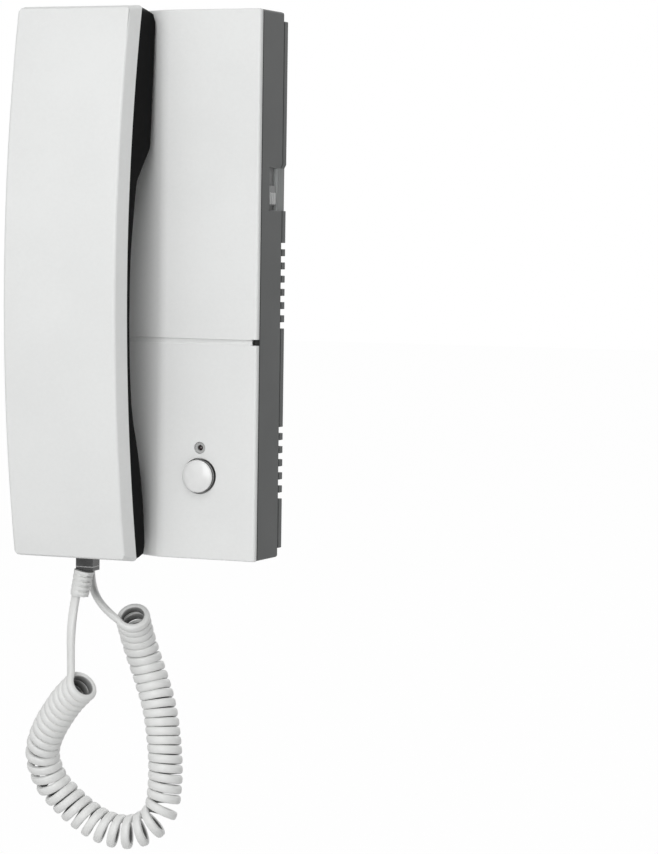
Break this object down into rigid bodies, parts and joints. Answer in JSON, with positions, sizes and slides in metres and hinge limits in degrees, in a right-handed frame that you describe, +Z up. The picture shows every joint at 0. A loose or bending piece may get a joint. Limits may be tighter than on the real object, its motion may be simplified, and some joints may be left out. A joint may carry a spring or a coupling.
{
  "type": "wall intercom station",
  "caption": "Wall intercom station: a base with a trough, an arched handset on an inclined peg and hook lever, a door button, a volume slider and a curly cord.",
  "frame": {"origin": "middle of the wall plate's rear face, on the wall", "axes": "+X to the right seen from the front, +Y into the wall, +Z up"},
  "size_m": [0.1023, 0.058, 0.3442],
  "materials": {
    "white_plastic": "fine satin moulded ABS",
    "grey_plastic": "fine matt moulded ABS",
    "black_plastic": "satin moulded ABS",
    "mid_grey_plastic": "matt moulded ABS",
    "button_white": "polished",
    "lamp_red": "diffused resin",
    "cord_white": "soft satin PVC",
    "plug_clear": "smoke polycarbonate",
    "contact_gold": "gold flash",
    "zinc_plate": "zinc plated sheet",
    "screw_steel": "zinc plated",
    "receiver_can": "drawn can",
    "soft_rubber": "matt",
    "board": "phenolic laminate",
    "terminal_green": "moulded nylon",
    "component_black": "moulded",
    "capacitor_sleeve": "shrunk sleeve"
  },
  "bodies": {
    "base": {"wall_plate": "zinc_plate", "rear_case": "grey_plastic", "front_cover": "white_plastic", "case_screws": "screw_steel", "main_board": "board", "board_screws": "screw_steel", "terminal_block": "terminal_green", "terminal_screws": "screw_steel", "capacitors": "capacitor_sleeve", "amplifier_chip": "component_black", "ringer": "component_black", "button_board": "board", "button_switch": "component_black", "lamp": "lamp_red", "lamp_bezel": "white_plastic", "volume_switch": "component_black", "volume_bezel": "mid_grey_plastic", "hook_pin": "screw_steel", "hook_spring": "screw_steel", "hook_switch": "component_black", "base_jack": "component_black", "cord_handset_tail": "cord_white", "cord_curls": "cord_white", "cord_base_tail": "cord_white", "base_boot": "cord_white", "base_plug": "plug_clear", "base_plug_contacts": "contact_gold"},
    "handset": {"handset_front_shell": "white_plastic", "handset_rear_shell": "black_plastic", "handset_screws": "screw_steel", "handset_weight": "zinc_plate", "receiver": "receiver_can", "receiver_gasket": "soft_rubber", "microphone": "receiver_can", "microphone_boot": "soft_rubber", "handset_jack": "component_black", "handset_plug": "plug_clear", "handset_plug_contacts": "contact_gold", "handset_boot": "cord_white"},
    "hook": {"hook_lever": "mid_grey_plastic"},
    "button": {"door_button": "button_white"},
    "volume": {"volume_knob": "mid_grey_plastic"}
  },
  "joints": [
    {"name": "handset_lift", "type": "slide", "parent": "base", "child": "handset", "axis": [0, -0.7071, 0.7071], "range_m": [0, 0.06], "deforming": ["cord_handset_tail", "cord_curls"]},
    {"name": "hook_pivot", "type": "hinge", "parent": "base", "child": "hook", "pos_m": [-0.02335, -0.012, 0.066], "axis": [1, 0, 0], "range_deg": [0, 8], "deforming": ["hook_spring"]},
    {"name": "door_button_press", "type": "slide", "parent": "base", "child": "button", "axis": [0, 1, 0], "range_m": [0, 0.0012], "stiffness_N_per_m": 800},
    {"name": "volume_slide", "type": "slide", "parent": "base", "child": "volume", "axis": [0, 0, 1], "range_m": [0, 0.0065]}
  ],
  "couplings": [
    {"joint": "hook_pivot", "follows": "handset_lift", "rad_per_m": 2.32}
  ]
}
